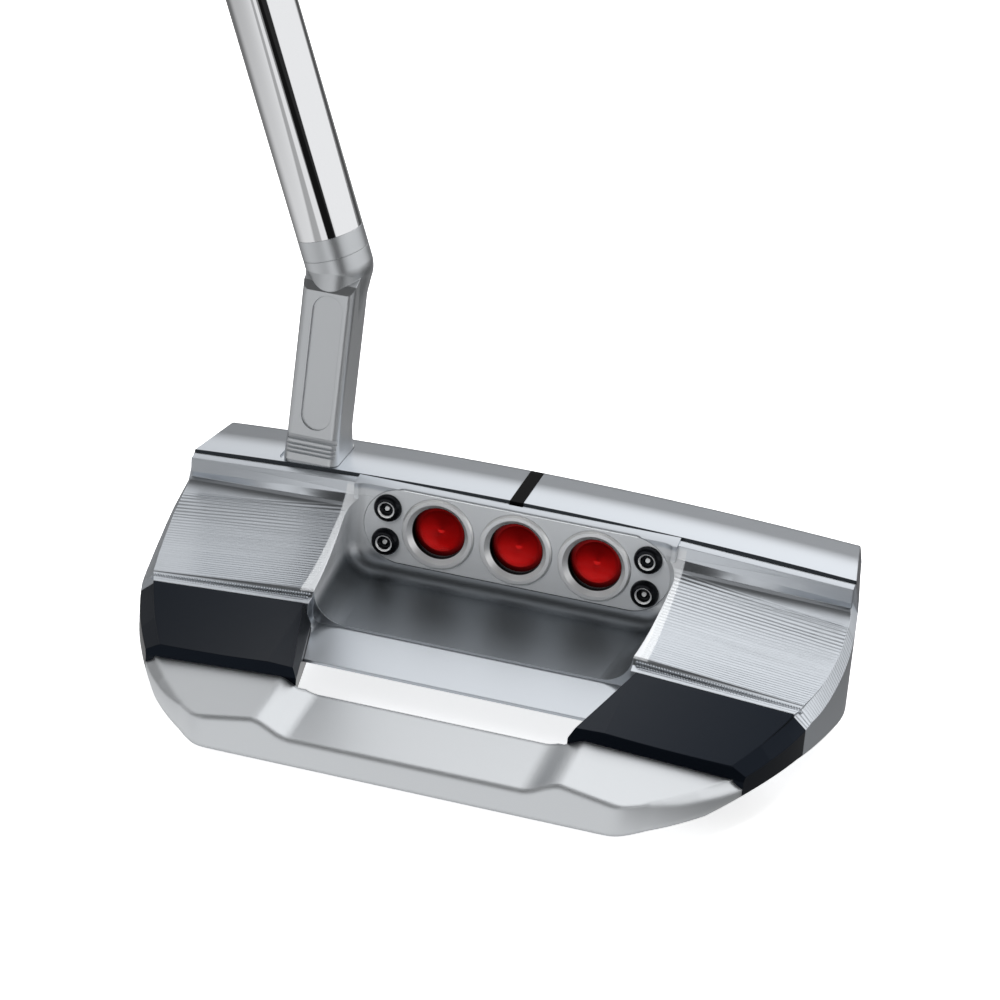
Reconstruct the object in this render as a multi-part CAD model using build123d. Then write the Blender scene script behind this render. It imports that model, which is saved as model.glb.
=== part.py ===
"""Mid-mallet putter, right-handed: head in several metals, offset neck, steel shaft, rubber grip.

Millimetres.  +X runs to the toe, +Y to the target, +Z up.  The origin is on the
ground under the rear wall of the face bar, halfway between heel and toe.
"""
from build123d import *
import math
import os

os.makedirs("parts", exist_ok=True)

# ---------------------------------------------------------------- club
lie_angle = 70.0
loft_angle = 3.5
club_length = 864.0          # 34 inches, ground to butt along the shaft
shaft_tip_dia = 9.6
shaft_butt_dia = 14.8
shaft_wall = 0.5
shaft_parallel = 70.0        # straight part above the tip before the taper
grip_length = 267.0
grip_wall_tip = 3.1
grip_butt_width = 27.0
grip_butt_depth = 31.0
tape_thickness = 0.25

# ---------------------------------------------------------------- head
topline_height = 24.35       # middle of the top line above the ground
topline_drop = 1.75          # how far the top line has fallen at its ends
topline_half = 48.0
topline_rear = 2.2           # rear edge of the top line
top_front_radius = 2.4       # rounding between the top line and the face
topline_step = 0.45          # small step behind the top line
face_foot = 16.0             # face plane where it would meet the ground
sole_flat_half = 9.5         # flat part of the sole, front to back
sole_camber_start = 21.0     # sole is flat across up to here
sole_camber_rise = 1.9       # and has risen this much at heel and toe
tail_underside = 4.4         # underside of the rear half above the ground
tail_camber_start = 38.5     # beyond this the rear half curls up a little
tail_camber_rise = 2.4
wall_tilt = 2.0              # rear wall of the face bar leans forward going up
pocket_front_half = 24.2     # cavity half-width at the face bar
pocket_rear_half = 22.8      # cavity half-width at its rear lip
pocket_floor = 10.6
pocket_corner = 4.5
pocket_rear = -18.0
tongue_rear = -27.3          # front edge of the through slot
tongue_edge_height = 9.5      # apron height just before the slot
tongue_drop = 0.25           # further fall of the apron past the slot edge
tongue_edge = 0.35           # thickness of the thinned edge of the apron
tongue_corner = 1.2          # the apron runs nearly flat up to the blocks
block_front = -19.8
block_rear = -35.6           # rear seam of the blocks at their inner edge
block_rear_skew = 0.182      # the rear seam runs forward going outward
block_inner_front = 22.4
block_inner_rear = 18.9
slot_rear = -35.0            # rear edge of the through slot
head_rear = -46.8
ramp_outer = 21.2            # the rear bridge steps down between these two
ramp_inner = 15.9
seam = 0.06                  # hairline between neighbouring head pieces
rim_soft = 0.45              # softened rim of the rear bridge

# ---------------------------------------------------------------- wall fittings
badge_shift = 0.6            # cups and plate sit a touch toward the toe
cup_height = 18.0
cup_spacing = 11.45
ring_dia = 10.6
ring_hole_dia = 7.7
ring_proud = 0.35
cup_depth = 2.0
plate_length = 44.8
plate_height = 11.2
plate_thickness = 0.8
plate_inset = 0.75           # how deep the plate is let into the wall
screw_across = 19.03
screw_up = 2.6
screw_head_dia = 4.1
screw_shank_dia = 2.0
screw_reach = 12.4           # long enough to bite into the insert
screw_socket_dia = 1.9
insert_length = 82.0
insert_height = 16.5
insert_thickness = 4.0
insert_mid_height = 11.9
membrane_thickness = 0.8
sight_x = -0.4
sight_width = 2.0
sight_front = 13.3           # the sight line runs over onto the rounding
sight_depth = 0.6

# ---------------------------------------------------------------- neck
neck_x = -31.3
neck_width = 7.8
neck_depth = 7.5
neck_rear_foot = 3.0         # rear face of the post at the top line
neck_lean = 9.8              # degrees the post leans toward the target
neck_shoulder = 49.6
foot_width = 8.2
foot_depth = 8.8
foot_sink = 3.0              # how deep the foot is set into the top line
relief_width = 0.8
relief_depth = 0.6
elbow_foot = 41.0            # height where the post starts to swell into the round elbow
panel_width = 4.4
panel_depth = 0.35
panel_low = 28.6
panel_high = 48.2
hosel_y = 11.9
hosel_dia = 9.6
collar_start = 2.1           # from the elbow centre up the shaft axis
collar_length = 3.1
spigot_length = 26.0
spigot_dia = 8.3
shaft_start = collar_start + collar_length
bond_gap = (shaft_tip_dia - 2 * shaft_wall - spigot_dia) / 2

# ---------------------------------------------------------------- weights and fixings
weight_x = 36.0
weight_y = 1.0
weight_dia = 12.0
weight_depth = 8.0
weight_key_dia = 4.0
front_pins = (27.0, 38.0)    # how far out the dowels sit
rear_pins = (22.4, 34.8)
pin_dia = 2.0
pin_depth = 3.5
front_pin_height = 9.6
rear_pin_height = 6.4
tab_depth = 6.5              # laps under the blocks that take the screws
tab_thickness = 2.4
tab_half_width = 4.5
lap_screw_dia = 2.5
lap_head_dia = 4.6
lap_screw_reach = 5.0
front_lap_x = 31.0
rear_lap_x = 28.5


def save(shape, name):
    """Write one named piece."""
    shape.label = name
    export_step(shape, f"parts/{name}.step")


def joined(*solids):
    """Fuse solids into one clean shape."""
    out = solids[0]
    for other in solids[1:]:
        out = out + other
    return out


def side_prism(points, half=60.0):
    """Solid with the given (y, z) outline, running across the head."""
    face = make_face(Polyline(*[(0, y, z) for y, z in points], close=True))
    return extrude(face, amount=half, dir=(1, 0, 0), both=True)


def box_between(x0, x1, y0, y1, z0, z1):
    """Box from two opposite corners."""
    size = (x1 - x0, y1 - y0, z1 - z0)
    middle = ((x0 + x1) / 2, (y0 + y1) / 2, (z0 + z1) / 2)
    return Pos(*middle) * Box(*size)


# ---------------------------------------------------------------- head blank
side_points = [(46.7, face_foot + 1.0), (48.2, 8.0), (49.2, 2.4), (49.75, -3.0), (49.55, -8.0)]
side_points += [(48.95, -13.0), (47.75, -19.0), (45.0, -26.0), (41.6, -32.1), (37.0, -38.7), (32.4, -43.5)]


def head_outline():
    """Plan outline of the whole head, bulging at heel and toe."""
    side = side_points
    corner = [(30.4, -45.5), (27.4, head_rear)]
    toe = Spline(*side)
    toe_corner = Spline(side[-1], corner[0], corner[1], tangents=[(-1.6, -1.8), (-1, 0)])
    heel = mirror(toe, about=Plane.YZ).edges()[0]
    heel_corner = mirror(toe_corner, about=Plane.YZ).edges()[0]
    front = Line((-46.7, face_foot + 1.0), (46.7, face_foot + 1.0))
    rear = Line((-27.4, head_rear), (27.4, head_rear))
    return make_face(Wire([front, toe, toe_corner, rear, heel_corner, heel]))


def sole_cutter():
    """Everything below the sole: flat pad, front roll, rising tail, heel and toe camber."""
    under = [(-70, -5), (-70, tail_underside), (block_front - 1.5, tail_underside)]
    under += [(-13.5, 1.2), (-sole_flat_half, 0), (sole_flat_half, 0), (face_foot - 2.2, 0.5)]
    under += [(face_foot + 1.0, 1.9), (30, 2), (30, -5)]
    cut = side_prism(under)
    for s in (-1, 1):
        front = camber_face(s, 9.0, sole_camber_start, 0.0, sole_camber_rise)
        back = camber_face(s, block_front - 1.5, tail_camber_start, tail_underside, tail_camber_rise)
        cut = cut + extrude(front, amount=12.0, dir=(0, 1, 0))
        cut = cut + loft([front, back], ruled=True)
        cut = cut + extrude(back, amount=40.0, dir=(0, -1, 0))
    return cut


def camber_face(s, y, start, base, rise):
    """Upright section of the air under a heel or toe edge."""
    slope = rise / (topline_half - start)
    points = [(start, base), (60, base + slope * (60 - start)), (60, -5), (start, -5)]
    return make_face(Polyline(*[(s * x, y, z) for x, z in points], close=True))


def topline_cutter():
    """Everything above the arched top line."""
    radius = topline_half ** 2 / (2 * topline_drop)
    drum = Rot(90, 0, 0) * Cylinder(radius, 60)
    slab = box_between(-60, 60, -30, 30, 15, 60)
    return slab - Pos(0, 0, topline_height - radius) * drum


def arch(x):
    """Height of the top line at a distance from the middle."""
    return topline_height - topline_drop * (x / topline_half) ** 2


def wing_profile(x, crease, low, drop, fall):
    """Outline in a side plane of the air above one wing and the block behind it."""
    ledge = arch(x) - topline_step
    start = [(topline_rear, 40), (topline_rear, ledge), (0.7, ledge - 0.2)]
    start += [(0.35 + crease[0] * 0.3, crease[1] + 1.0), crease, (crease[0] - 0.45, crease[1] - 0.35)]
    lines = [Line((x, *start[i]), (x, *start[i + 1])) for i in range(len(start) - 1)]
    curve = Spline(*[(x, *p) for p in [start[-1]] + low])
    end = low[-1]
    after = [end, (end[0] - 0.8, end[1] - 0.75 * drop), (block_front, end[1] - drop)]
    after += [(block_rear - 1.0, end[1] - drop + fall * (block_rear - 1.0 - block_front))]
    tail = [Line((x, *after[i]), (x, *after[i + 1])) for i in range(len(after) - 1)]
    corner = (x, block_rear - 1.0, 40)
    lid = [Line((x, *after[-1]), corner), Line(corner, (x, topline_rear, 40))]
    return make_face(Wire(lines + [curve] + tail + lid))


def wing_cutter(side):
    """Air above one wing: steep near the bar, flattening to the rear, falling outward."""
    inner_low = [(-2.2, 19.5), (-3.7, 18.8), (-6.0, 17.75), (-8.5, 16.85), (-11.2, 16.05)]
    inner_low += [(-14.2, 15.45), (-17.75, 15.1)]
    outer_low = [(-0.2, 17.7), (-2.0, 16.9), (-4.2, 15.75), (-7.2, 14.6), (-10.7, 13.65)]
    outer_low += [(-14.6, 13.0), (-17.75, 12.75)]
    inner = wing_profile(23.5, (-0.85, 20.6), inner_low, 1.3, 0.13)
    outer = wing_profile(48.5, (1.2, 18.8), outer_low, 0.48, 0.395)
    cut = loft([inner, outer], ruled=True)
    cut = cut + extrude(outer, amount=8.0, dir=(1, 0, 0))
    inmost = wing_profile(15.5, (-0.85, 20.6), inner_low, 1.3, 0.07)
    inward = loft([inner, inmost], ruled=True)
    cut = cut + (inward & box_between(0, 60, -60, -0.3, 0, 60))
    return cut if side > 0 else mirror(cut, about=Plane.YZ)


def trough_profile(y, half, floor, radius, lid=40.0):
    """U-shaped outline across the head at one station."""
    left = [(-half, y, lid), (-half, y, floor + radius), (-half + radius, y, floor)]
    right = [(-p[0], y, p[2]) for p in reversed(left)]
    mid = radius * (1 - math.sqrt(0.5))
    arc_l = ThreePointArc(left[1], (-half + mid, y, floor + mid), left[2])
    arc_r = ThreePointArc(right[0], (half - mid, y, floor + mid), right[1])
    edges = [Line(left[0], left[1]), arc_l, Line(left[2], right[0]), arc_r]
    edges += [Line(right[1], right[2]), Line(right[2], left[0])]
    return make_face(Wire(edges))


def wall_y(z):
    """Rear wall of the face bar at a height."""
    return (z - cup_height) * math.tan(math.radians(wall_tilt))


def pocket_cutter():
    """Cavity behind the face bar, with a leaning wall and a rounded foot."""
    front = trough_profile(4.0, pocket_front_half + 0.3, pocket_floor, pocket_corner)
    rear = trough_profile(pocket_rear, pocket_rear_half, pocket_floor, pocket_corner)
    cut = loft([front, rear], ruled=True)
    lean = [(wall_y(0), 0), (wall_y(60), 60), (10, 60), (10, 0)]
    cut = cut - side_prism(lean)
    foot = [e for e in cut.edges() if e.center().Y > -1.2 and e.center().Z < pocket_floor + 3.2]
    return fillet(foot, 2.6)


def ledge_cutter():
    """Narrow ledge just behind the top line, between the wings."""
    top = arch(0) - topline_step
    pts = [(topline_rear, 40), (topline_rear, top), (0.5, top - 0.25), (-1.5, top - 0.5), (-1.5, 40)]
    cut = side_prism(pts, 24.6)
    radius = topline_half ** 2 / (2 * topline_drop)
    drum = Pos(0, 0, topline_height - topline_step - 0.35 - radius) * Rot(90, 0, 0) * Cylinder(radius, 60)
    return cut - drum


def tongue_cutter():
    """Air above the apron that falls from the cavity lip to the through slot."""
    first = trough_profile(pocket_rear, pocket_rear_half + 0.05, pocket_floor - 0.3, tongue_corner)
    end_height = tongue_edge_height - tongue_drop
    last = trough_profile(tongue_rear - 3, pocket_rear_half + 0.9, end_height, tongue_corner)
    return loft([first, last], ruled=True)


def underside_relief():
    """Sloped recess under the cavity so that the slot is open right through."""
    ceiling = tongue_edge_height - tongue_edge
    start = -sole_flat_half - 0.4
    pts = [(start, -3), (start, 0.0), (tongue_rear - 0.2, ceiling)]
    pts += [(tongue_rear - 8, ceiling), (tongue_rear - 8, -3)]
    return side_prism(pts, 27.5)


def head_blank():
    """Whole head before it is divided, with outer edges already cut."""
    blank = extrude(head_outline(), amount=30)
    lean = math.tan(math.radians(loft_angle))
    front = [(face_foot + 5 * lean, -5), (face_foot - 40 * lean, 40), (40, 40), (40, -5)]
    blank = blank - side_prism(front)
    blank = blank - topline_cutter() - sole_cutter()
    for side in (-1, 1):
        blank = blank - wing_cutter(side) - end_cutter(side)
        for piece in rim_bevel(side, wing_rim):
            blank = blank - piece
    return blank


# y, height of the top surface there, width and depth of the bevel
wing_rim = [(2.2, 19.2, 0.9, 1.6), (-2.0, 17.1, 1.2, 2.0), (-7.2, 14.7, 1.2, 2.0)]
wing_rim += [(-13.0, 13.2, 1.3, 1.9), (-18.2, 12.6, 1.5, 1.7), (-22.5, 11.4, 1.8, 1.6)]
wing_rim += [(-27.0, 10.4, 1.8, 1.5), (-33.5, 8.9, 1.6, 1.3)]
bridge_rim = [(-29.0, 7.2, 1.0, 1.0), (-33.0, 7.4, 1.0, 1.0), (-37.5, 8.0, 1.0, 1.0)]
bridge_rim += [(-42.0, 8.8, 1.0, 1.0), (-43.5, 9.1, 0.9, 0.9)]


def rim_bevel(side, stations):
    """Wedges of air that bevel the outer top edge, from station to station."""
    edge = Spline(*side_points)
    faces = []
    for y, height, wide, deep in stations:
        low, high = 0.0, 1.0
        for _ in range(40):
            middle = (low + high) / 2
            if (edge @ middle).Y > y:
                low = middle
            else:
                high = middle
        at = edge @ low
        along = edge % low
        out = (-along.Y, along.X)
        ramp = deep / wide
        pts = [(-wide, height), (1.5, height - deep - 1.5 * ramp), (1.5, height + 4), (-wide, height + 4)]
        corners = [(side * (at.X + out[0] * u), at.Y + out[1] * u, z) for u, z in pts]
        faces.append(make_face(Polyline(*corners, close=True)))
    return [loft([faces[i], faces[i + 1]], ruled=True) for i in range(len(faces) - 1)]


def end_cutter(side):
    """Draft on the heel and toe ends of the face bar."""
    foot = Vector(side * 49.15, 2.4, 0)
    head = Vector(side * 47.55, 12.5, 0)
    along = (head - foot).normalized()
    start = foot - along * 4
    outward = Vector(side * along.Y, -side * along.X, 0)
    pts = [(0.25, 16.5), (-1.05, 24.5), (-1.3, 30), (8, 30), (8, 16.5)]
    corners = [(start.X + outward.X * u, start.Y + outward.Y * u, z) for u, z in pts]
    return extrude(make_face(Polyline(*corners, close=True)), amount=24, dir=(along.X, along.Y, 0))


def block_plan(grow=0.0):
    """Plan area of the toe-side block; its inner edge closes in toward the rear."""
    pts = [(block_inner_front - grow, block_front + grow), (60, block_front + grow)]
    pts += [(60, rear_seam_y(60) - grow), (block_inner_rear - grow, rear_seam_y(block_inner_rear) - grow)]
    return make_face(Polyline(*pts, close=True))


def rear_seam_y(x):
    """Y of the slanting rear seam of the blocks."""
    return block_rear + (abs(x) - block_inner_rear) * block_rear_skew


def block_space(side, grow=0.0):
    """Room taken by one block."""
    room = extrude(block_plan(grow), amount=40)
    return room if side > 0 else mirror(room, about=Plane.YZ)


def screw_spots():
    """(x, z) of the four screws in the rear wall."""
    spots = []
    for s in (-1, 1):
        for u in (-1, 1):
            spots.append((badge_shift + s * screw_across, cup_height + u * screw_up))
    return spots


def on_wall(x, z, shape, out=0.0):
    """Put a shape drawn on XY (its +Z outward) on the rear wall, facing the rear."""
    frame = Plane(origin=(x, wall_y(z), z), x_dir=(1, 0, 0), z_dir=wall_out)
    return frame * Pos(0, 0, out) * shape


wall_out = (0, -math.cos(math.radians(wall_tilt)), math.sin(math.radians(wall_tilt)))


def face_plane():
    """Plane on the face at insert height, its normal toward the target."""
    lean = math.radians(loft_angle)
    y = face_foot - insert_mid_height * math.tan(lean)
    outward = (0, math.cos(lean), math.sin(lean))
    return Plane(origin=(0, y, insert_mid_height), x_dir=(-1, 0, 0), z_dir=outward)


# ---------------------------------------------------------------- head pieces
def head_body(blank):
    """Milled front body: face bar, cavity, wings and apron."""
    front = box_between(-60, 60, tongue_rear, 30, -5, 40)
    body = blank & front
    body = body - pocket_cutter() - tongue_cutter() - ledge_cutter() - underside_relief()
    for side in (-1, 1):
        body = body - block_space(side, seam)
    top_front = [e for e in body.edges() if e.center().Z > 23.0 and e.center().Y > 11.0]
    top_front = [e for e in top_front if e.bounding_box().size.X > 30]
    body = fillet(top_front, top_front_radius)
    pocket_depth = insert_thickness + membrane_thickness + 0.05
    recess = extrude(RectangleRounded(insert_length + 0.1, insert_height + 0.1, 4.05), amount=-pocket_depth)
    body = body - face_plane() * recess
    recess_depth = plate_inset + 0.02
    recess = Pos(0, 0, -recess_depth) * extrude(plate_outline(0.05), amount=recess_depth + 1.5)
    body = body - on_wall(badge_shift, cup_height, recess)
    for x, z in screw_spots():
        body = body - on_wall(x, z, Pos(0, 0, -7) * Cylinder(screw_shank_dia / 2 + 0.15, 20))
    for x in cup_centres():
        body = body - on_wall(x, cup_height, Pos(0, 0, -1.0) * Cylinder(ring_dia / 2 + 0.03, 4.0))
    body = body - sight_cutter(0.0)
    for s in (-1, 1):
        top = weight_floor(weight_x) + weight_depth + 0.02
        body = body - Pos(s * weight_x, weight_y, top / 2 - 2) * Cylinder(weight_dia / 2 + 0.02, top + 4)
    body = body - neck_foot(0.04) - neck_relief()
    for s in (-1, 1):
        body = body + lap_tab(s, front_lap_x, block_front, -1, 0.0)
        body = body - pin_pair(s, front_pins, True, 0.01)
        body = body - lap_screw(s * front_lap_x, front_screw_y(), 0.02)
    return body


def plate_outline(grow=0.0):
    """Stadium outline of the back plate."""
    return SlotOverall(plate_length + 2 * grow, plate_height + 2 * grow)


def cup_centres():
    """X of the three cups."""
    return [badge_shift + i * cup_spacing for i in (-1, 0, 1)]


def back_plate():
    """Thin stadium plate let into the rear wall."""
    plate = extrude(plate_outline(), amount=plate_thickness)
    for x in cup_centres():
        plate = plate - Pos(x - badge_shift, 0, 0) * Cylinder(ring_dia / 2 + 0.03, 5)
    for x, z in screw_spots():
        plate = plate - Pos(x - badge_shift, z - cup_height, 0) * Cylinder(screw_shank_dia / 2 + 0.1, 5)
    return on_wall(badge_shift, cup_height, plate, -plate_inset)


def cup_ring(x):
    """Turned steel cup: flanged rim with a recess for the coloured fill."""
    back = 2.9
    front = plate_thickness - plate_inset + ring_proud
    body = Pos(0, 0, (front - back) / 2) * Cylinder(ring_dia / 2, front + back)
    rim = [e for e in body.edges().filter_by(GeomType.CIRCLE) if e.center().Z > front - 0.01]
    body = chamfer(rim, 0.25)
    bowl = Pos(0, 0, front - 0.4 - cup_depth / 2) * Cylinder(ring_hole_dia / 2, cup_depth + 0.8)
    body = body - bowl
    flare = Pos(0, 0, front - 0.35) * Cone(ring_hole_dia / 2, ring_hole_dia / 2 + 0.7, 0.7)
    return on_wall(x, cup_height, body - flare)


def cup_fill(x):
    """Coloured fill: a shallow spun dish in the bottom of the cup."""
    front = plate_thickness - plate_inset + ring_proud
    base = front - 0.4 - cup_depth / 2 - (cup_depth + 0.8) / 2
    disc = Pos(0, 0, base + 0.55) * Cylinder(ring_hole_dia / 2 - 0.01, 1.1)
    dish = Pos(0, 0, base + 1.1 - 0.35 + 14.0) * Sphere(14.0)
    return on_wall(x, cup_height, disc - dish)


def back_screw(x, z):
    """Low domed screw with a hexagon socket, reaching the face insert."""
    seat = plate_thickness - plate_inset
    head = Pos(0, 0, seat + 0.45) * Cylinder(screw_head_dia / 2, 0.9)
    top = [e for e in head.edges().filter_by(GeomType.CIRCLE) if e.center().Z > seat + 0.8]
    head = chamfer(top, 0.6)
    shank = Pos(0, 0, seat - screw_reach / 2) * Cylinder(screw_shank_dia / 2, screw_reach)
    socket = Pos(0, 0, seat + 0.05) * extrude(RegularPolygon(screw_socket_dia / 2, 6), amount=2)
    return on_wall(x, z, head + shank - socket)


def face_insert():
    """Milled insert forming the striking face, tapped for the four screws."""
    slab = extrude(RectangleRounded(insert_length, insert_height, 4.0), amount=-insert_thickness)
    slab = face_plane() * slab
    for x, z in screw_spots():
        thread = Pos(0, 0, -screw_reach / 2) * Cylinder(screw_shank_dia / 2, screw_reach + 0.4)
        slab = slab - on_wall(x, z, thread)
    return slab


def damping_membrane():
    """Soft sheet between the insert and the body."""
    slab = extrude(RectangleRounded(insert_length, insert_height, 4.0), amount=-membrane_thickness)
    slab = face_plane() * Pos(0, 0, -insert_thickness) * slab
    for x, z in screw_spots():
        slab = slab - on_wall(x, z, Pos(0, 0, -7) * Cylinder(screw_shank_dia / 2 + 0.1, 20))
    return slab


def sight_cutter(grow):
    """Shallow groove across the top line that carries the sight line."""
    z = arch(0)
    strip = box_between(sight_x - sight_width / 2, sight_x + sight_width / 2,
                        topline_rear - 0.3, sight_front, z - sight_depth, z + 1.0 + grow)
    return strip


def sight_line():
    """Dark inlay flush with the top line and its rounded front."""
    top = arch(0) - 0.03
    strip = box_between(sight_x - sight_width / 2, sight_x + sight_width / 2,
                        topline_rear, sight_front, arch(0) - sight_depth, top)
    face = face_foot - arch(0) * math.tan(math.radians(loft_angle))
    middle = face - top_front_radius
    roll = [(middle, top)]
    for degrees in range(80, 20, -10):
        turn = math.radians(degrees)
        fall = top_front_radius * (1 - math.sin(turn))
        roll.append((middle + top_front_radius * math.cos(turn), top - fall))
    roll += [(face + 5, roll[-1][1]), (face + 5, top + 5), (middle, top + 5)]
    return strip - side_prism(roll)


def block_body(blank, side):
    """One dark block: bevelled on its inner, rear and outer edges."""
    piece = blank & block_space(side)
    pts = [(0, 9.0), (block_inner_front - 4.5, 9.4), (block_inner_front + 2.2, tail_underside)]
    pts += [(block_inner_front + 2.2, 0), (0, 0)]
    face = make_face(Polyline(*[(side * x, 0, z) for x, z in pts], close=True))
    piece = piece - extrude(face, amount=60, dir=(0, -1, 0))
    inner_a = (block_inner_front, block_front)
    inner_b = (block_inner_rear, block_rear)
    piece = piece - edge_bevel(side, inner_a, inner_b, 1.5, 10.9, 14.2)
    rear_b = (60.0, rear_seam_y(60))
    piece = piece - edge_bevel(side, inner_b, rear_b, 0.55, 11.1, 12.6, 0.16)
    piece = piece - lap_tab(side, front_lap_x, block_front, -1, seam)
    piece = piece - lap_tab(side, rear_lap_x, rear_seam_y(rear_lap_x), 1, seam)
    piece = piece - pin_pair(side, front_pins, True, 0.01)
    piece = piece - pin_pair(side, rear_pins, False, 0.01)
    piece = piece - lap_screw(side * front_lap_x, front_screw_y(), 0.0)
    piece = piece - lap_screw(side * rear_lap_x, rear_screw_y(), 0.0)
    return piece


def edge_bevel(side, a, b, wide, low, high, fall=0.0):
    """Air outside a bevel along the plan line a-b; the bevel may fall along its length."""
    run = math.hypot(b[0] - a[0], b[1] - a[1])
    along = ((b[0] - a[0]) / run, (b[1] - a[1]) / run)
    inward = (-along[1], along[0])
    faces = []
    for t in (-4.0, run + 4.0):
        base = (a[0] + along[0] * t, a[1] + along[1] * t)
        drop = fall * t
        pts = [(-4, low - drop), (0, low - drop), (wide, high - drop), (wide, 40), (-4, 40)]
        corners = [(side * (base[0] + inward[0] * u), base[1] + inward[1] * u, z) for u, z in pts]
        faces.append(make_face(Polyline(*corners, close=True)))
    return loft(faces, ruled=True)


def rear_bridge(blank):
    """Rear bar joining the blocks, with a lower middle section and a softened rim."""
    plan = [(-60, head_rear - 5), (60, head_rear - 5), (60, rear_seam_y(60) - seam)]
    plan += [(block_inner_rear - 0.3, rear_seam_y(block_inner_rear - 0.3) - seam), (17.6, slot_rear)]
    plan += [(-17.6, slot_rear), (-block_inner_rear + 0.3, rear_seam_y(block_inner_rear - 0.3) - seam)]
    plan += [(-60, rear_seam_y(60) - seam)]
    room = extrude(make_face(Polyline(*plan, close=True)), amount=40)
    bar = blank & room
    lids = []
    brink = head_rear + rim_soft
    for y, low, high in [(-25.0, 9.6, 11.2), (brink, 8.35, 10.25), (brink - 4, 4.35, 6.25)]:
        top = [(-60, high - 6.6)]
        for i in range(9):
            t = i / 8
            fall = (high - low) * t * t * (3 - 2 * t)
            top.append((-ramp_outer + (ramp_outer - ramp_inner) * t, high - fall))
        top += [(-x, z) for x, z in reversed(top)]
        corners = [(x, y, z) for x, z in top] + [(60, y, 40), (-60, y, 40)]
        lids.append(make_face(Polyline(*corners, close=True)))
    bar = bar - loft(lids[:2], ruled=True) - loft(lids[1:], ruled=True)
    for s in (-1, 1):
        for piece in rim_bevel(s, bridge_rim):
            bar = bar - piece
    for s in (-1, 1):
        bar = bar + lap_tab(s, rear_lap_x, rear_seam_y(rear_lap_x), 1, 0.0)
        bar = bar - pin_pair(s, rear_pins, False, 0.01)
        bar = bar - lap_screw(s * rear_lap_x, rear_screw_y(), 0.02)
    return bar


def front_screw_y():
    """Y of the lap screws at the front seam."""
    return block_front - tab_depth / 2


def rear_screw_y():
    """Y of the lap screws at the rear seam."""
    return rear_seam_y(rear_lap_x) + tab_depth / 2


def pin_pair(side, across, front, grow):
    """Two short dowels across one seam of a block."""
    pins = None
    for x in across:
        pin = pin_at(side, x, front, grow)
        pins = pin if pins is None else pins + pin
    return pins


def pin_at(side, x, front, grow):
    """One dowel pin lying front to back across a seam."""
    y = block_front if front else rear_seam_y(x)
    height = front_pin_height if front else rear_pin_height
    pin = Rot(90, 0, 0) * Cylinder(pin_dia / 2 + grow, 2 * pin_depth + 2 * grow)
    return Pos(side * x, y, height) * pin


def lap_tab(side, x, y, way, grow):
    """Thin tab reaching under a block from its neighbour."""
    y0 = y - way * 0.5
    y1 = y + way * (tab_depth + grow)
    low = tail_underside - (0.5 if grow else 0.0)
    return box_between(side * x - tab_half_width - grow, side * x + tab_half_width + grow,
                       min(y0, y1), max(y0, y1), low, tail_underside + tab_thickness + grow)


def lap_screw(x, y, grow):
    """Flat-headed screw driven up through a tab into a block."""
    base = tail_underside
    cone = Pos(x, y, base + 0.65) * Cone(lap_head_dia / 2 + grow, lap_screw_dia / 2 + grow, 1.3)
    shank = Pos(x, y, base + lap_screw_reach / 2) * Cylinder(lap_screw_dia / 2 + grow, lap_screw_reach)
    mouth = Pos(x, y, base - 0.25) * Cylinder(lap_head_dia / 2 + grow, 0.5)
    return cone + shank + mouth if grow else cone + shank


def lap_screw_part(x, y):
    """Lap screw with its hexagon socket."""
    socket = Pos(x, y, tail_underside - 0.1) * extrude(RegularPolygon(0.95, 6), amount=1.1)
    return lap_screw(x, y, 0.0) - socket


def sole_weight(side):
    """Screw-in weight flush with the sole, with a hexagon key hole."""
    x = side * weight_x
    base = weight_floor(weight_x)
    slug = Pos(x, weight_y, base + weight_depth / 2) * Cylinder(weight_dia / 2, weight_depth)
    slug = slug - Pos(x, weight_y, base - 0.1) * extrude(RegularPolygon(weight_key_dia / 2, 6), amount=3.0)
    rim = [e for e in slug.edges().filter_by(GeomType.CIRCLE) if e.center().Z < base + 0.01]
    return chamfer(rim, 0.4)


def weight_floor(x):
    """Height at which a sole weight starts, following the camber."""
    run = topline_half - sole_camber_start
    return (x + weight_dia / 2 - sole_camber_start) / run * sole_camber_rise


# ---------------------------------------------------------------- neck and hosel
axis = Vector(-math.cos(math.radians(lie_angle)), 0, math.sin(math.radians(lie_angle)))
elbow_height = neck_shoulder + 1.2
elbow = Vector(neck_x - 0.15, hosel_y, elbow_height)
ground_to_elbow = elbow_height / axis.Z
upward = (Align.CENTER, Align.CENTER, Align.MIN)


def rear_face_y(z):
    """Rear face of the leaning neck post at a height."""
    return neck_rear_foot + (z - 28.0) * math.tan(math.radians(neck_lean))


def neck_section(z, width, depth, radius):
    """Rounded rectangle across the post, level, at a height."""
    y = rear_face_y(z) + depth / 2
    return Pos(neck_x, y, z) * RectangleRounded(width, depth, radius)


def neck_foot(grow):
    """Foot of the neck, let into the top line."""
    low = arch(neck_x) - foot_sink
    high = arch(neck_x) + 0.4
    parts = []
    for z in (low, high):
        y = rear_face_y(26.0) - 0.2 + foot_depth / 2
        parts.append(Pos(neck_x, y, z) * RectangleRounded(foot_width + 2 * grow, foot_depth + 2 * grow, 1.3))
    if grow:
        parts[1] = Pos(0, 0, 3) * parts[1]
    return loft(parts, ruled=True)


def neck_relief():
    """Shallow pocket in the top line on the heel side of the neck foot."""
    y = rear_face_y(26.0) + foot_depth / 2
    plan = RectangleRounded(foot_width + relief_width, foot_depth - 0.3, 1.5)
    low = arch(neck_x) - relief_depth
    return Pos(neck_x - relief_width / 2, y, low) * extrude(plan, amount=5)


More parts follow.
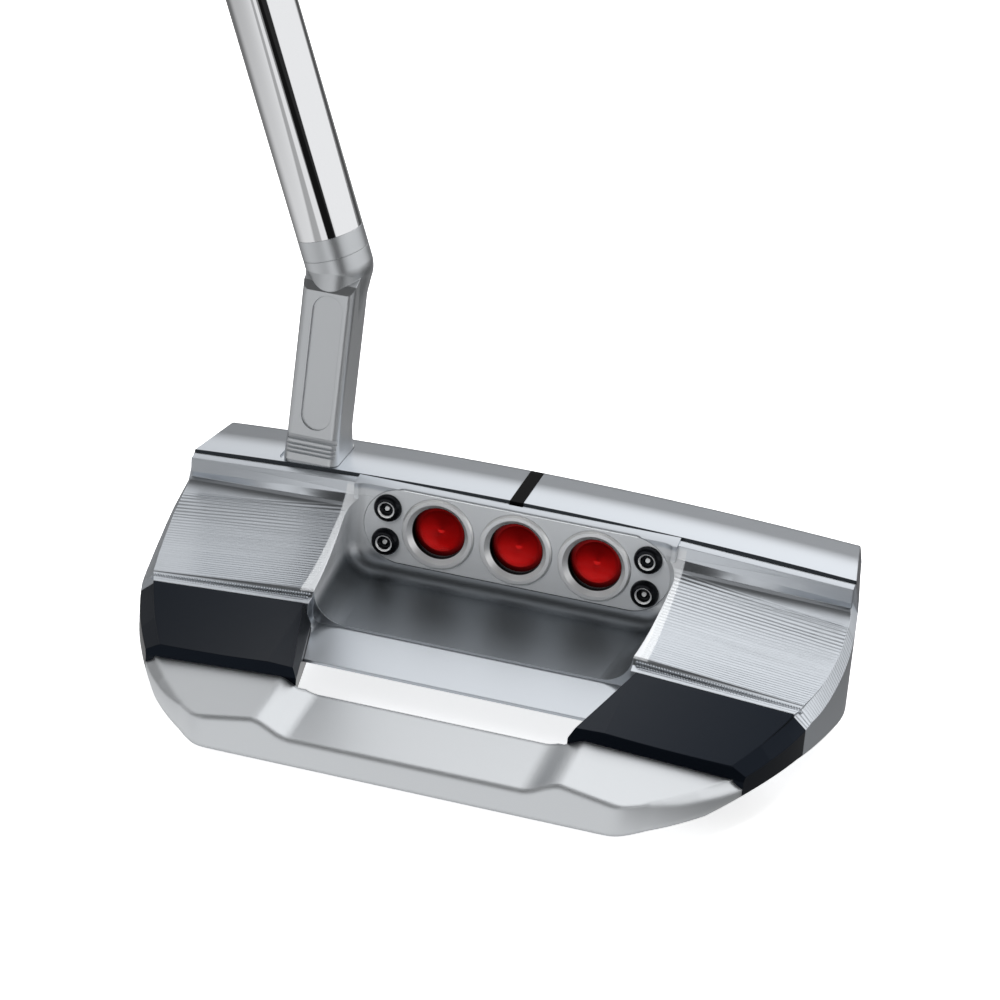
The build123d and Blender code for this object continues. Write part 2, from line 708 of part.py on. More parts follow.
def along_axis(shape, distance):
    """Place a shape drawn on XY on the shaft axis, a distance up from the elbow."""
    frame = Plane(origin=elbow + axis * distance, x_dir=(0, 1, 0), z_dir=axis)
    return frame * shape


def neck():
    """One-piece neck: foot, leaning post with a recessed panel, elbow and spigot."""
    base = neck_foot(0.0)
    flare = loft([neck_section(arch(neck_x) + 0.3, foot_width, foot_depth - 0.2, 1.3),
                  neck_section(27.4, neck_width, neck_depth, 1.1)], ruled=True)
    post = loft([neck_section(27.3, neck_width, neck_depth, 1.1),
                 neck_section(56.0, neck_width, neck_depth, 1.1)], ruled=True)
    top = rear_face_y(neck_shoulder)
    slope = [(0, neck_shoulder - 0.9 - top), (top + 0.9, neck_shoulder), (top + 3.2, neck_shoulder + 1.2)]
    slope += [(30, neck_shoulder + 1.2), (30, 70), (0, 70)]
    post = post - Pos(neck_x, 0, 0) * side_prism(slope, 12)
    foot = Vector(neck_x, rear_face_y(elbow_foot) + neck_depth / 2, elbow_foot)
    swell = Plane(origin=foot, x_dir=(1, 0, 0), z_dir=elbow - foot)
    rise = (elbow - foot).length
    swell = swell * Cone(neck_depth / 2 - 0.1, hosel_dia / 2, rise, align=upward)
    above = along_axis(Pos(0, 0, collar_start + 10) * Box(30, 30, 20), 0)
    ball = Pos(*elbow) * Sphere(hosel_dia / 2) - above
    body = base + flare + post + swell + ball
    body = body + along_axis(Cylinder(hosel_dia / 2, collar_start, align=upward), 0)
    tall = box_between(neck_x - 8, neck_x + 8, -5, 25, 15, elbow_height + 10)
    body = body & tall
    spigot_end = shaft_start + spigot_length
    spigot = Cylinder(spigot_dia / 2, spigot_end, align=upward)
    body = body + along_axis(spigot, 0)
    middle = (panel_low + panel_high) / 2
    lean = math.radians(neck_lean)
    frame = Plane(origin=(neck_x + 0.3, rear_face_y(middle), middle), x_dir=(1, 0, 0),
                  z_dir=(0, -math.cos(lean), math.sin(lean)))
    panel = frame * (Rot(0, 0, 90) * SlotOverall(panel_high - panel_low, panel_width))
    body = body - extrude(panel, amount=panel_depth, dir=(0, math.cos(lean), -math.sin(lean)))
    for z, tall_by, deep in [(27.3, 0.75, 0.5), (26.35, 0.3, 0.4), (25.75, 0.3, 0.4), (25.15, 0.3, 0.4)]:
        back = rear_face_y(z) - 2.3
        front = rear_face_y(z) + deep
        body = body - box_between(neck_x - 3.6, neck_x + 3.9, back, front, z - tall_by / 2, z + tall_by / 2)
    return body


def shaft_collar():
    """Satin ring between the neck and the shaft."""
    ring = Cylinder(hosel_dia / 2, collar_length - 0.04, align=upward)
    ring = ring - Cylinder(spigot_dia / 2 + 0.03, 20)
    return along_axis(ring, collar_start + 0.02)


# ---------------------------------------------------------------- shaft and grip
shaft_length = club_length - ground_to_elbow - shaft_start - 4.0
grip_start = club_length - ground_to_elbow - grip_length


def shaft_radius(s):
    """Outside radius of the shaft, s measured up from its lower end."""
    t = max(0.0, (s - shaft_parallel) / (shaft_length - shaft_parallel))
    return (shaft_tip_dia + (shaft_butt_dia - shaft_tip_dia) * t) / 2


def turned(profile):
    """Solid of revolution from (radius, distance above the elbow) points, on the shaft axis."""
    face = make_face(Polyline(*[(r, 0, s) for r, s in profile], close=True))
    solid = revolve(face, axis=Axis.Z, revolution_arc=360)
    return along_axis(solid, 0)


def shaft():
    """Tapered steel tube."""
    a = shaft_start
    b = shaft_start + shaft_parallel
    c = shaft_start + shaft_length
    w = shaft_wall
    r0 = shaft_radius(0)
    r1 = shaft_radius(shaft_length)
    return turned([(r0, a), (r0, b), (r1, c), (r1 - w, c), (r0 - w, b), (r0 - w, a)])


def bond_sleeve():
    """Cured adhesive between the spigot and the shaft."""
    a = shaft_start + 0.3
    b = shaft_start + spigot_length - 0.3
    inside = spigot_dia / 2
    return turned([(inside, a), (inside + bond_gap, a), (inside + bond_gap, b), (inside, b)])


def grip_tape():
    """Two-sided tape wrapped on the butt of the shaft."""
    a = grip_start + 3
    b = shaft_start + shaft_length
    ra = shaft_radius(a - shaft_start)
    rb = shaft_radius(b - shaft_start)
    t = tape_thickness
    return turned([(ra, a), (ra + t, a), (rb + t, b), (rb, b)])


def grip_section(share):
    """Rounded section of the grip; flat side away from the player."""
    low = shaft_radius(grip_start - shaft_start) * 2 + 2 * (tape_thickness + grip_wall_tip)
    ease = share * share * (3 - 2 * share)
    width = low + (grip_butt_width - low) * ease
    depth = low + 1.5 + (grip_butt_depth - low - 1.5) * ease ** 1.4
    shift = (depth - low) / 2 * 0.82
    radius = min(width, depth) / 2 * (0.93 - 0.2 * share)
    up = grip_start + share * (grip_length - 4.0)
    return Pos(0, -shift, up) * RectangleRounded(width, depth, radius)


def grip():
    """Moulded rubber grip, flat on top, deepening to a pistol butt."""
    sections = [grip_section(i / 5) for i in range(6)]
    body = loft(sections)
    frame = Plane(origin=elbow, x_dir=(0, 1, 0), z_dir=axis)
    body = frame * body
    a = grip_start - 1
    b = grip_start + grip_length
    ra = shaft_radius(grip_start + 3 - shaft_start) + tape_thickness
    rb = shaft_radius(shaft_length) + tape_thickness
    lead = shaft_radius(grip_start - shaft_start) + 0.02
    s3 = grip_start + 3
    butt = shaft_start + shaft_length
    bore = turned([(0, a), (lead, a), (lead, s3), (ra, s3), (rb, butt), (rb, b), (0, b)])
    return body - bore


def grip_cap():
    """Butt cap with a small vent hole, plugging the end of the shaft."""
    end = shaft_start + shaft_length
    outline = grip_section(1.0)
    plate = extrude(Pos(0, 0, end + 0.02 - (grip_start + grip_length - 4.0)) * outline, amount=4.0 - 0.02)
    top = [e for e in plate.edges() if e.center().Z > end + 3.9]
    plate = fillet(top, 1.6)
    plug = Pos(0, 0, end - 5.5) * Cylinder(shaft_radius(shaft_length) - shaft_wall - 0.08, 13)
    cap = plate + plug - Pos(0, 0, end) * Cylinder(1.25, 60)
    frame = Plane(origin=elbow, x_dir=(0, 1, 0), z_dir=axis)
    return frame * cap


# ---------------------------------------------------------------- build
blank = head_blank()
save(head_body(blank), "head_body")
save(block_body(blank, -1), "heel_block")
save(block_body(blank, 1), "toe_block")
save(rear_bridge(blank), "rear_bridge")
save(face_insert(), "face_insert")
save(damping_membrane(), "damping_membrane")
save(back_plate(), "back_plate")
save(Compound(children=[cup_ring(x) for x in cup_centres()]), "cup_rings")
save(Compound(children=[cup_fill(x) for x in cup_centres()]), "cup_fills")
save(Compound(children=[back_screw(x, z) for x, z in screw_spots()]), "back_screws")
save(sight_line(), "sight_line")
pins = []
for side in (-1, 1):
    pins += [pin_at(side, x, True, 0.0) for x in front_pins]
    pins += [pin_at(side, x, False, 0.0) for x in rear_pins]
save(Compound(children=pins), "dowel_pins")
laps = []
for side in (-1, 1):
    laps.append(lap_screw_part(side * front_lap_x, front_screw_y()))
    laps.append(lap_screw_part(side * rear_lap_x, rear_screw_y()))
save(Compound(children=laps), "lap_screws")
save(sole_weight(-1), "heel_weight")
save(sole_weight(1), "toe_weight")
save(neck(), "neck")
save(shaft_collar(), "shaft_collar")
save(shaft(), "shaft")
save(bond_sleeve(), "bond_sleeve")
save(grip_tape(), "grip_tape")
save(grip(), "grip")
save(grip_cap(), "grip_cap")
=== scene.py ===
import math

import bpy
from mathutils import Euler, Matrix, Vector


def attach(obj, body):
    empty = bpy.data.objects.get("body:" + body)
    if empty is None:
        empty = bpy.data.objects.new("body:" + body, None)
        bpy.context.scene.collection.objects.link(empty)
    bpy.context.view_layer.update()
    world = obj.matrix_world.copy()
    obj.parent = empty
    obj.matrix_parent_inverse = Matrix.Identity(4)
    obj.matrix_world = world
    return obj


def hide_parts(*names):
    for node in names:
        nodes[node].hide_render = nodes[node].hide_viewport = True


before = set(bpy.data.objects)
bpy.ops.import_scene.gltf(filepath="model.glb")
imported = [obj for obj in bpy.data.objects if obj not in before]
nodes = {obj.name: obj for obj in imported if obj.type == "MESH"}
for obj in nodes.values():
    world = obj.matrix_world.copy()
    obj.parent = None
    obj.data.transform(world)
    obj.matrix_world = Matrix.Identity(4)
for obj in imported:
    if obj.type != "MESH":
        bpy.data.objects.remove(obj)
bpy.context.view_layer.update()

mm = 0.001
print("frame loaded:", len(nodes), "nodes")


# small helpers

def toLinear(hexColour):
    # sRGB hex to the linear values that the shader sockets want
    out = []
    for i in (1, 3, 5):
        c = int(hexColour[i:i + 2], 16) / 255
        out.append(c / 12.92 if c <= 0.04045 else ((c + 0.055) / 1.055) ** 2.4)
    return (out[0], out[1], out[2], 1.0)


def addNode(tree, kind, settings=None, links=None):
    # one node, its settings, and its inputs: a socket links, anything else is a value
    node = tree.nodes.new(kind)
    for name, value in (settings or {}).items():
        setattr(node, name, value)
    for key, value in (links or {}).items():
        if isinstance(value, bpy.types.NodeSocket):
            tree.links.new(value, node.inputs[key])
        else:
            node.inputs[key].default_value = value
    return node


def newMaterial(name, baseHex, metallic, roughness):
    material = bpy.data.materials.new(name)
    material.use_nodes = True
    shader = material.node_tree.nodes["Principled BSDF"]
    shader.inputs["Base Color"].default_value = toLinear(baseHex)
    shader.inputs["Metallic"].default_value = metallic
    shader.inputs["Roughness"].default_value = roughness
    return material, material.node_tree, shader


def millimetres(tree):
    # object coordinates in millimetres, whole and split
    coords = addNode(tree, "ShaderNodeTexCoord")
    scaled = addNode(tree, "ShaderNodeVectorMath", {"operation": "SCALE"},
                     {0: coords.outputs["Object"], "Scale": 1.0 / mm})
    split = addNode(tree, "ShaderNodeSeparateXYZ", None, {0: scaled.outputs[0]})
    return scaled.outputs[0], split.outputs


def calc(tree, operation, a, b=0.0, c=0.0):
    return addNode(tree, "ShaderNodeMath", {"operation": operation}, {0: a, 1: b, 2: c}).outputs[0]


def noise(tree, vector, scale, detail, stretch=None):
    # noise in object space, stretched along some axes for brushed and drawn finishes
    if stretch:
        vector = addNode(tree, "ShaderNodeMapping", None, {"Vector": vector, "Scale": stretch}).outputs[0]
    return addNode(tree, "ShaderNodeTexNoise", None,
                   {"Vector": vector, "Scale": scale, "Detail": detail}).outputs[0]


def bumped(tree, shader, height, strength, distance, bevel=0.0):
    # a bump in millimetres of depth, over edges softened by a small bevel, sent to the shader
    inputs = {"Strength": strength, "Distance": distance * mm, "Height": height}
    if bevel:
        edge = addNode(tree, "ShaderNodeBevel", {"samples": 4}, {"Radius": bevel * mm})
        inputs["Normal"] = edge.outputs[0]
    bump = addNode(tree, "ShaderNodeBump", None, inputs).outputs[0]
    tree.links.new(bump, shader.inputs["Normal"])
    return bump


def ramped(tree, value, low, high, toLow=0.0, toHigh=1.0):
    # a smooth step from toLow at low to toHigh at high
    inputs = {"Value": value, "From Min": low, "From Max": high, "To Min": toLow, "To Max": toHigh}
    return addNode(tree, "ShaderNodeMapRange", {"interpolation_type": "SMOOTHSTEP"}, inputs).outputs[0]


def mixed(tree, factor, a, b):
    node = addNode(tree, "ShaderNodeMix", {"data_type": "RGBA"})
    tree.links.new(factor, node.inputs["Factor"])
    colourInputs = [s for s in node.inputs if s.type == "RGBA"]
    for socket, value in zip(colourInputs, (a, b)):
        if isinstance(value, bpy.types.NodeSocket):
            tree.links.new(value, socket)
        else:
            socket.default_value = toLinear(value)
    return [s for s in node.outputs if s.type == "RGBA"][0]


# camera and light

# place in metres, angles in degrees, lens in millimetres
view = {"place": (0.11202, -0.43216, 0.24359), "tilt": 63.8923, "roll": -4.1547, "heading": 16.8432,
        "lens": 128.52}


def makeCamera():
    data = bpy.data.cameras.new("camera")
    camera = bpy.data.objects.new("camera", data)
    bpy.context.scene.collection.objects.link(camera)
    turn = Euler([math.radians(view[angle]) for angle in ("tilt", "roll", "heading")])
    camera.matrix_world = Matrix.Translation(view["place"]) @ turn.to_matrix().to_4x4()
    data.lens = view["lens"]
    data.sensor_width = 36.0
    data.clip_start = 0.01
    data.clip_end = 50.0
    bpy.context.scene.camera = camera


# the gap is in degrees round from the player's side, the rest are strengths
dome = {"gapFrom": 11.0, "gapTo": 40.0, "gapDepth": 0.97, "floorGlow": 0.92, "floorLift": 0.69,
        "overheadDark": 0.05, "targetBright": 1.3, "playerBright": 0.9}


def darkGap(tree, x, y, reach):
    # the unlit gap between the lamps, a wedge of the room that polished shafts show as a stripe
    turn = calc(tree, "ARCTAN2", x, calc(tree, "MULTIPLY", y, -1.0))
    start, end = math.radians(dome["gapFrom"]), math.radians(dome["gapTo"])
    soft = 0.02
    inside = calc(tree, "MULTIPLY", ramped(tree, turn, start - soft, start + soft),
                  ramped(tree, turn, end - soft, end + soft, 1.0, 0.0))
    return calc(tree, "SUBTRACT", 1.0, calc(tree, "MULTIPLY", inside, reach))


def makeWorld():
    # a soft studio for the metals to mirror: a wide bright box above the target side, a dark ceiling over
    # the player, a dim horizon beyond the face, and bright low boxes off the toe and behind the player
    world = bpy.data.worlds.new("studio")
    bpy.context.scene.world = world
    world.use_nodes = True
    tree = world.node_tree
    tree.nodes.clear()
    way = addNode(tree, "ShaderNodeTexCoord").outputs["Generated"]
    x, y, z = addNode(tree, "ShaderNodeSeparateXYZ", None, {0: way}).outputs
    targetBox = ramped(tree, y, -0.45, 0.40, dome["overheadDark"], dome["targetBright"])
    targetBox = calc(tree, "MULTIPLY", targetBox, ramped(tree, z, 0.02, 0.36, 0.25, 1.0))
    targetBox = calc(tree, "MULTIPLY", targetBox, ramped(tree, x, -0.55, -0.08, 0.55, 1.0))
    lowBand = ramped(tree, z, 0.30, 0.62, 1.0, 0.0)
    toeBox = calc(tree, "MULTIPLY", ramped(tree, x, 0.30, 0.65), lowBand)
    playerBox = calc(tree, "MULTIPLY", ramped(tree, y, -0.75, -0.45, dome["playerBright"], 0.0), lowBand)
    light = calc(tree, "MAXIMUM", targetBox, calc(tree, "MAXIMUM", toeBox, playerBox))
    gap = darkGap(tree, x, y, ramped(tree, z, 0.4, 0.5, dome["gapDepth"], 0.0))
    light = calc(tree, "MULTIPLY", light, gap)
    room = addNode(tree, "ShaderNodeBackground", None, {"Color": (1, 1, 1, 1), "Strength": light})
    white = addNode(tree, "ShaderNodeBackground", None, {"Color": (1, 1, 1, 1), "Strength": 1.0})
    path = addNode(tree, "ShaderNodeLightPath")
    pick = addNode(tree, "ShaderNodeMixShader", None,
                   {0: path.outputs["Is Camera Ray"], 1: room.outputs[0], 2: white.outputs[0]})
    addNode(tree, "ShaderNodeOutputWorld", None, {0: pick.outputs[0]})


def areaLamp(name, place, target, size, power):
    data = bpy.data.lights.new(name, "AREA")
    data.shape = "RECTANGLE"
    data.size, data.size_y = size
    data.energy = power
    lamp = bpy.data.objects.new(name, data)
    bpy.context.scene.collection.objects.link(lamp)
    way = Vector(target) - Vector(place)
    lamp.matrix_world = Matrix.Translation(place) @ way.to_track_quat("-Z", "Y").to_matrix().to_4x4()
    lamp.visible_glossy = False  # the dome alone is what the metal mirrors


def makeFloor():
    mesh = bpy.data.meshes.new("floor")
    half, under = 4.0, -0.0002
    corners = [(-half, -half, under), (half, -half, under), (half, half, under), (-half, half, under)]
    mesh.from_pydata(corners, [], [(0, 1, 2, 3)])
    floor = bpy.data.objects.new("floor", mesh)
    bpy.context.scene.collection.objects.link(floor)
    material, tree, shader = newMaterial("paper sweep", "#F2F2F2", 0.0, 0.9)
    place = addNode(tree, "ShaderNodeTexCoord").outputs["Object"]
    x, y = addNode(tree, "ShaderNodeSeparateXYZ", None, {0: place}).outputs[:2]
    # in polished metal the sweep glows evenly on the player's side and falls off toward the target and heel
    glow = calc(tree, "MULTIPLY", ramped(tree, y, -0.02, 0.08, dome["floorGlow"], 0.28),
                ramped(tree, x, -0.25, -0.05, 0.5, 1.0))
    away = calc(tree, "SQRT", calc(tree, "ADD", calc(tree, "MULTIPLY", x, x), calc(tree, "MULTIPLY", y, y)))
    # it is dimmer just beyond the toe and the heel, which keeps the outer sides from washing out
    offToe = calc(tree, "MAXIMUM", ramped(tree, x, 0.036, 0.052, 1.0, 0.3), ramped(tree, x, 0.4, 0.8))
    offHeel = calc(tree, "MAXIMUM", ramped(tree, x, -0.056, -0.044, 0.5, 1.0),
                   ramped(tree, x, -0.1, -0.08, 1.0, 0.0))
    glow = calc(tree, "MULTIPLY", glow, calc(tree, "MULTIPLY", offToe, offHeel))
    gap = darkGap(tree, calc(tree, "ADD", x, 0.008), y, ramped(tree, away, 0.16, 0.22, 0.0, dome["gapDepth"]))
    glow = calc(tree, "MULTIPLY", glow, gap)
    # mirror rays see that glow, the camera sees the paper lifted to white, and other rays see plain paper
    sheen = addNode(tree, "ShaderNodeEmission", None, {"Color": (1, 1, 1, 1), "Strength": glow})
    lift = addNode(tree, "ShaderNodeEmission", None, {"Color": (1, 1, 1, 1), "Strength": dome["floorLift"]})
    paper = addNode(tree, "ShaderNodeAddShader", None, {0: shader.outputs[0], 1: lift.outputs[0]})
    path = addNode(tree, "ShaderNodeLightPath")
    first = addNode(tree, "ShaderNodeMixShader", None,
                    {0: path.outputs["Is Camera Ray"], 1: shader.outputs[0], 2: paper.outputs[0]})
    pick = addNode(tree, "ShaderNodeMixShader", None,
                   {0: path.outputs["Is Glossy Ray"], 1: first.outputs[0], 2: sheen.outputs[0]})
    tree.links.new(pick.outputs[0], tree.nodes["Material Output"].inputs["Surface"])
    mesh.materials.append(material)


makeCamera()
makeWorld()
makeFloor()
areaLamp("overhead box", (0.15, 0.45, 0.9), (0, 0, 0), (0.7, 0.5), 7.0)
areaLamp("player side box", (-0.35, -0.6, 0.8), (0, 0, 0), (0.5, 0.4), 5.5)
bpy.context.scene.view_settings.view_transform = "Standard"
print("camera, dome and floor made")


# finishes

def satinSteel(name, baseHex, roughness, grain=(0.6, 9.0, 9.0), metallic=1.0):
    # stainless steel, belt-satined: soft streaks along the head
    material, tree, shader = newMaterial(name, baseHex, metallic, roughness)
    place = millimetres(tree)[0]
    streak = noise(tree, place, 1.0, 3.0, grain)
    cloud = noise(tree, place, 0.09, 2.0)
    rough = calc(tree, "MULTIPLY_ADD", streak, 0.06, roughness - 0.03)
    rough = calc(tree, "MULTIPLY_ADD", cloud, 0.06, calc(tree, "SUBTRACT", rough, 0.03))
    tree.links.new(rough, shader.inputs["Roughness"])
    bumped(tree, shader, streak, 0.2, 0.002, 0.12)
    return material


# places and sizes in millimetres from the frame's origin; the floor and step colours are painted shade
headFinish = {"linePitch": 0.52, "lineDepth": 0.035, "wingStart": 24.0, "wingFront": -1.4,
              "pocketHalf": 24.7, "pocketBack": -18.05, "pocketFront": 1.2, "pocketTop": 22.6,
              "floorFrom": 12.4, "floorTo": 14.2, "crown": 0.031, "crownMiddle": 5.6, "crownFrom": 21.8,
              "stepAt": 2.2, "stepFrom": 21.5, "roughness": 0.27,
              "steel": "#CCD1D7", "wall": "#DCDFE2", "floor": "#8A8F95", "step": "#43474B"}


def milledSteel():
    # milled stainless steel: cutter lines on the wings, a blasted cavity with pale walls and a floor painted
    # darker as shade in the recess, and painted shade along the step behind the top line
    material, tree, shader = newMaterial("milled stainless steel", headFinish["steel"], 1.0,
                                         headFinish["roughness"])
    place, axes = millimetres(tree)
    x = calc(tree, "ABSOLUTE", axes["X"])
    y, z = axes["Y"], axes["Z"]
    normal = addNode(tree, "ShaderNodeNewGeometry").outputs["Normal"]
    up = addNode(tree, "ShaderNodeSeparateXYZ", None, {0: normal}).outputs["Z"]
    wing, front = headFinish["wingStart"], headFinish["wingFront"]
    onWing = calc(tree, "MULTIPLY", ramped(tree, x, wing - 0.3, wing),
                  ramped(tree, y, front, front + 0.4, 1.0, 0.0))
    onWing = calc(tree, "MULTIPLY", onWing, ramped(tree, up, 0.3, 0.5))
    side, back = headFinish["pocketHalf"], headFinish["pocketBack"]
    near, top = headFinish["pocketFront"], headFinish["pocketTop"]
    inPocket = calc(tree, "MULTIPLY", ramped(tree, x, side, side + 0.2, 1.0, 0.0),
                    ramped(tree, y, back, back + 0.15))
    inPocket = calc(tree, "MULTIPLY", inPocket, ramped(tree, y, near, near + 0.2, 1.0, 0.0))
    inPocket = calc(tree, "MULTIPLY", inPocket, ramped(tree, z, top, top + 0.6, 1.0, 0.0))
    wobble = noise(tree, place, 1.0, 2.0, (0.05, 0.7, 0.3))
    phase = calc(tree, "MULTIPLY_ADD", y, 2 * math.pi / headFinish["linePitch"],
                 calc(tree, "MULTIPLY", wobble, 4.0))
    line = calc(tree, "MULTIPLY_ADD", calc(tree, "SINE", phase), 0.5, 0.5)
    streak = noise(tree, place, 1.0, 3.0, (0.5, 9.0, 9.0))
    height = calc(tree, "ADD", calc(tree, "MULTIPLY", line, onWing), calc(tree, "MULTIPLY", streak, 0.012))
    bump = bumped(tree, shader, height, 1.0, headFinish["lineDepth"], 0.15)
    # the top line looks very slightly crowned front to back, by bump alone
    aside = calc(tree, "SUBTRACT", y, headFinish["crownMiddle"])
    crown = calc(tree, "MULTIPLY", calc(tree, "MULTIPLY", aside, aside), -headFinish["crown"])
    crown = calc(tree, "MULTIPLY", crown, calc(tree, "GREATER_THAN", z, headFinish["crownFrom"]))
    bump = addNode(tree, "ShaderNodeBump", None,
                   {"Strength": 1.0, "Distance": mm, "Height": crown, "Normal": bump})
    tree.links.new(bump.outputs[0], shader.inputs["Normal"])
    rough = calc(tree, "MULTIPLY_ADD", streak, 0.04, headFinish["roughness"])
    rough = calc(tree, "MULTIPLY_ADD", onWing, 0.04, rough)
    rough = calc(tree, "MULTIPLY_ADD", inPocket, 0.10, rough)
    tree.links.new(rough, shader.inputs["Roughness"])
    # the cavity floor is painted darker than its walls, painted shade down in the recess, and the step behind
    # the top line is painted as a dark line of shade
    floorPart = calc(tree, "MULTIPLY", inPocket,
                     ramped(tree, z, headFinish["floorFrom"], headFinish["floorTo"], 1.0, 0.0))
    colour = mixed(tree, inPocket, headFinish["steel"], headFinish["wall"])
    colour = mixed(tree, floorPart, colour, headFinish["floor"])
    # painted shadow: a dark line along the low vertical step behind the top line
    fromStep = calc(tree, "ABSOLUTE", calc(tree, "SUBTRACT", y, headFinish["stepAt"]))
    onStep = calc(tree, "MULTIPLY", ramped(tree, fromStep, 0.05, 0.12, 1.0, 0.0),
                  calc(tree, "GREATER_THAN", z, headFinish["stepFrom"]))
    colour = mixed(tree, onStep, colour, headFinish["step"])
    # blasted walls scatter some of the light
    wallPart = calc(tree, "SUBTRACT", inPocket, floorPart)
    tree.links.new(calc(tree, "MULTIPLY_ADD", wallPart, -0.45, 1.0), shader.inputs["Metallic"])
    tree.links.new(colour, shader.inputs["Base Color"])
    return material


def blackAnodised():
    # aluminium, black anodised over a fine satin: near black with a cool soft sheen
    material, tree, shader = newMaterial("black anodised aluminium", "#04060A", 0.0, 0.3)
    shader.inputs["Specular IOR Level"].default_value = 0.27
    shader.inputs["Specular Tint"].default_value = toLinear("#9CB2D2")
    grain = noise(tree, millimetres(tree)[0], 1.2, 3.0, (1.0, 8.0, 8.0))
    tree.links.new(calc(tree, "MULTIPLY_ADD", grain, 0.10, 0.25), shader.inputs["Roughness"])
    bumped(tree, shader, grain, 0.1, 0.002, 0.15)
    return material


def blastedSteel():
    # bead-blasted stainless: even fine speckle and a wide soft highlight
    material, tree, shader = newMaterial("bead blasted stainless steel", "#CDD0D3", 1.0, 0.36)
    bead = noise(tree, millimetres(tree)[0], 4.0, 2.0)
    tree.links.new(calc(tree, "MULTIPLY_ADD", bead, 0.10, 0.29), shader.inputs["Roughness"])
    bumped(tree, shader, bead, 0.4, 0.004, 0.9)
    return material


# the bore and redRim colours are painted shade inside each cup
cups = {"middle": 0.6, "spacing": 11.45, "height": 18.0, "ringPitch": 0.22, "dishPitch": 0.25,
        "ring": "#F4F5F6", "bore": "#0A0A0B", "boreFrom": 3.86, "boreTo": 3.94,
        "red": "#D60303", "redRim": "#5C0001", "rimFrom": 2.4, "rimTo": 3.9}


def cupAxes(tree):
    # offsets from the nearest cup centre, so one finish turns round all three
    axes = millimetres(tree)[1]
    step = calc(tree, "DIVIDE", calc(tree, "SUBTRACT", axes["X"], cups["middle"]), cups["spacing"])
    away = calc(tree, "MULTIPLY", calc(tree, "SUBTRACT", step, calc(tree, "ROUND", step)), cups["spacing"])
    rise = calc(tree, "SUBTRACT", axes["Z"], cups["height"])
    squares = calc(tree, "ADD", calc(tree, "MULTIPLY", away, away), calc(tree, "MULTIPLY", rise, rise))
    radius = calc(tree, "SQRT", squares)
    tangent = addNode(tree, "ShaderNodeCombineXYZ", None,
                      {"X": calc(tree, "MULTIPLY", rise, -1.0), "Y": 0.0, "Z": away}).outputs[0]
    tangent = addNode(tree, "ShaderNodeVectorMath", {"operation": "NORMALIZE"}, {0: tangent}).outputs[0]
    return radius, tangent


def spun(tree, shader, pitch, strength, depth, anisotropy):
    # fine turned circles round each cup, with the highlight stretched across them
    radius, tangent = cupAxes(tree)
    circles = calc(tree, "SINE", calc(tree, "MULTIPLY", radius, 2 * math.pi / pitch))
    bumped(tree, shader, circles, strength, depth)
    shader.inputs["Anisotropic"].default_value = anisotropy
    tree.links.new(tangent, shader.inputs["Tangent"])
    return radius


def turnedSteel():
    # lathe-turned stainless ring: fine circles that pull the highlight into wedges
    material, tree, shader = newMaterial("turned stainless steel", cups["ring"], 0.72, 0.36)
    radius = spun(tree, shader, cups["ringPitch"], 0.3, 0.003, 0.25)
    ring = ramped(tree, radius, cups["boreFrom"], cups["boreTo"])  # the bore wall above the dish is painted near black, painted shade inside the cup
    tree.links.new(mixed(tree, ring, cups["bore"], cups["ring"]), shader.inputs["Base Color"])
    return material


def redEnamel():
    # translucent red enamel over a spun steel dish: metal glints under a clear gloss
    material, tree, shader = newMaterial("red enamel on spun steel", cups["red"], 0.85, 0.3)
    radius = spun(tree, shader, cups["dishPitch"], 0.35, 0.004, 0.8)
    shader.inputs["Coat Weight"].default_value = 0.15
    shader.inputs["Coat Roughness"].default_value = 0.04
    # the red is painted darker toward the dish's edge: painted shade in the recess under the ring
    rim = ramped(tree, radius, cups["rimFrom"], cups["rimTo"])
    tree.links.new(mixed(tree, rim, cups["red"], cups["redRim"]), shader.inputs["Base Color"])
    return material


def plainFinish(name, baseHex, metallic, roughness, specular=0.5):
    # any small or hidden piece: a fine even speckle in gloss and height
    material, tree, shader = newMaterial(name, baseHex, metallic, roughness)
    shader.inputs["Specular IOR Level"].default_value = specular
    speck = noise(tree, millimetres(tree)[0], 3.0, 2.0)
    tree.links.new(calc(tree, "MULTIPLY_ADD", speck, 0.1, roughness - 0.05), shader.inputs["Roughness"])
    bumped(tree, shader, speck, 0.2, 0.004)
    return material


def chromePlate():
    # bright chrome plate on a drawn steel tube: mirror with the faintest haze
    material, tree, shader = newMaterial("bright chrome plate", "#E6E7E9", 1.0, 0.05)
    haze = noise(tree, millimetres(tree)[0], 1.0, 2.0, (0.4, 0.4, 0.05))
    tree.links.new(calc(tree, "MULTIPLY_ADD", haze, 0.04, 0.03), shader.inputs["Roughness"])
    return material


grips = {"diamond": 2.6, "grooveDepth": 0.25, "shaftLean": 20}


